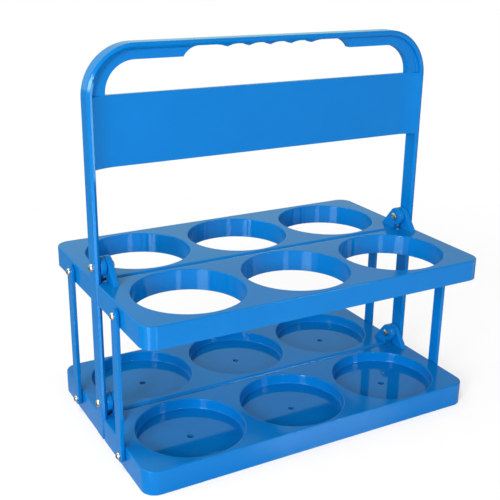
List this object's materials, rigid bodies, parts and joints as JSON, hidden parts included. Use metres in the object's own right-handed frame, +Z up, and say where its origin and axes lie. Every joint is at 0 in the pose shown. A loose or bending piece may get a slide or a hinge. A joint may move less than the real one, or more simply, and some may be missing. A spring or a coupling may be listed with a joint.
{
  "type": "foldable bottle holder",
  "caption": "Free-standing plastic bottle carrier: tall loop handle with a panel, two levels of hinged half trays that fold up beside it, linked at both ends by side bars.",
  "frame": {"origin": "on the floor, under the middle of the holder", "axes": "+Z up, +X along the rows of bottles to the right, -Y to the front"},
  "size_m": [0.324, 0.205, 0.3233],
  "materials": {
    "blue_plastic": "glossy injection-moulded blue polypropylene",
    "polished_steel": "polished plated steel"
  },
  "bodies": {
    "handle": {"handle_frame": "blue_plastic", "upper_left_hinge_barrel": "polished_steel", "upper_right_hinge_barrel": "polished_steel", "lower_left_hinge_barrel": "polished_steel", "lower_right_hinge_barrel": "polished_steel", "upper_left_hinge_screw": "polished_steel", "upper_right_hinge_screw": "polished_steel", "lower_left_hinge_screw": "polished_steel", "lower_right_hinge_screw": "polished_steel"},
    "upper_front_half": {"upper_front_tray": "blue_plastic", "upper_front_left_rivet": "polished_steel", "upper_front_right_rivet": "polished_steel"},
    "upper_back_half": {"upper_back_tray": "blue_plastic", "upper_back_left_rivet": "polished_steel", "upper_back_right_rivet": "polished_steel"},
    "lower_front_half": {"lower_front_tray": "blue_plastic", "lower_front_left_rivet": "polished_steel", "lower_front_right_rivet": "polished_steel"},
    "lower_back_half": {"lower_back_tray": "blue_plastic", "lower_back_left_rivet": "polished_steel", "lower_back_right_rivet": "polished_steel"},
    "front_left_bar": {"front_left_link": "blue_plastic"},
    "front_right_bar": {"front_right_link": "blue_plastic"},
    "back_left_bar": {"back_left_link": "blue_plastic"},
    "back_right_bar": {"back_right_link": "blue_plastic"}
  },
  "joints": [
    {"name": "upper_front_fold", "type": "hinge", "parent": "handle", "child": "upper_front_half", "pos_m": [0, 0, 0.1517], "axis": [-1, 0, 0], "range_deg": [0, 90]},
    {"name": "lower_front_fold", "type": "hinge", "parent": "handle", "child": "lower_front_half", "pos_m": [0, 0, 0.0317], "axis": [-1, 0, 0], "range_deg": [0, 90]},
    {"name": "front_left_link_swing", "type": "hinge", "parent": "upper_front_half", "child": "front_left_bar", "pos_m": [-0.1576, -0.05125, 0.1313], "axis": [-1, 0, 0], "range_deg": [-90, 0]},
    {"name": "front_right_link_swing", "type": "hinge", "parent": "upper_front_half", "child": "front_right_bar", "pos_m": [0.1576, -0.05125, 0.1313], "axis": [-1, 0, 0], "range_deg": [-90, 0]},
    {"name": "upper_back_fold", "type": "hinge", "parent": "handle", "child": "upper_back_half", "pos_m": [0, 0, 0.1517], "axis": [1, 0, 0], "range_deg": [0, 90]},
    {"name": "lower_back_fold", "type": "hinge", "parent": "handle", "child": "lower_back_half", "pos_m": [0, 0, 0.0317], "axis": [1, 0, 0], "range_deg": [0, 90]},
    {"name": "back_left_link_swing", "type": "hinge", "parent": "upper_back_half", "child": "back_left_bar", "pos_m": [-0.1576, 0.05125, 0.1313], "axis": [1, 0, 0], "range_deg": [-90, 0]},
    {"name": "back_right_link_swing", "type": "hinge", "parent": "upper_back_half", "child": "back_right_bar", "pos_m": [0.1576, 0.05125, 0.1313], "axis": [1, 0, 0], "range_deg": [-90, 0]}
  ],
  "couplings": [
    {"joint": "lower_front_fold", "follows": "upper_front_fold", "ratio": 1},
    {"joint": "front_left_link_swing", "follows": "upper_front_fold", "ratio": -1},
    {"joint": "front_right_link_swing", "follows": "upper_front_fold", "ratio": -1},
    {"joint": "lower_back_fold", "follows": "upper_back_fold", "ratio": 1},
    {"joint": "back_left_link_swing", "follows": "upper_back_fold", "ratio": -1},
    {"joint": "back_right_link_swing", "follows": "upper_back_fold", "ratio": -1}
  ]
}
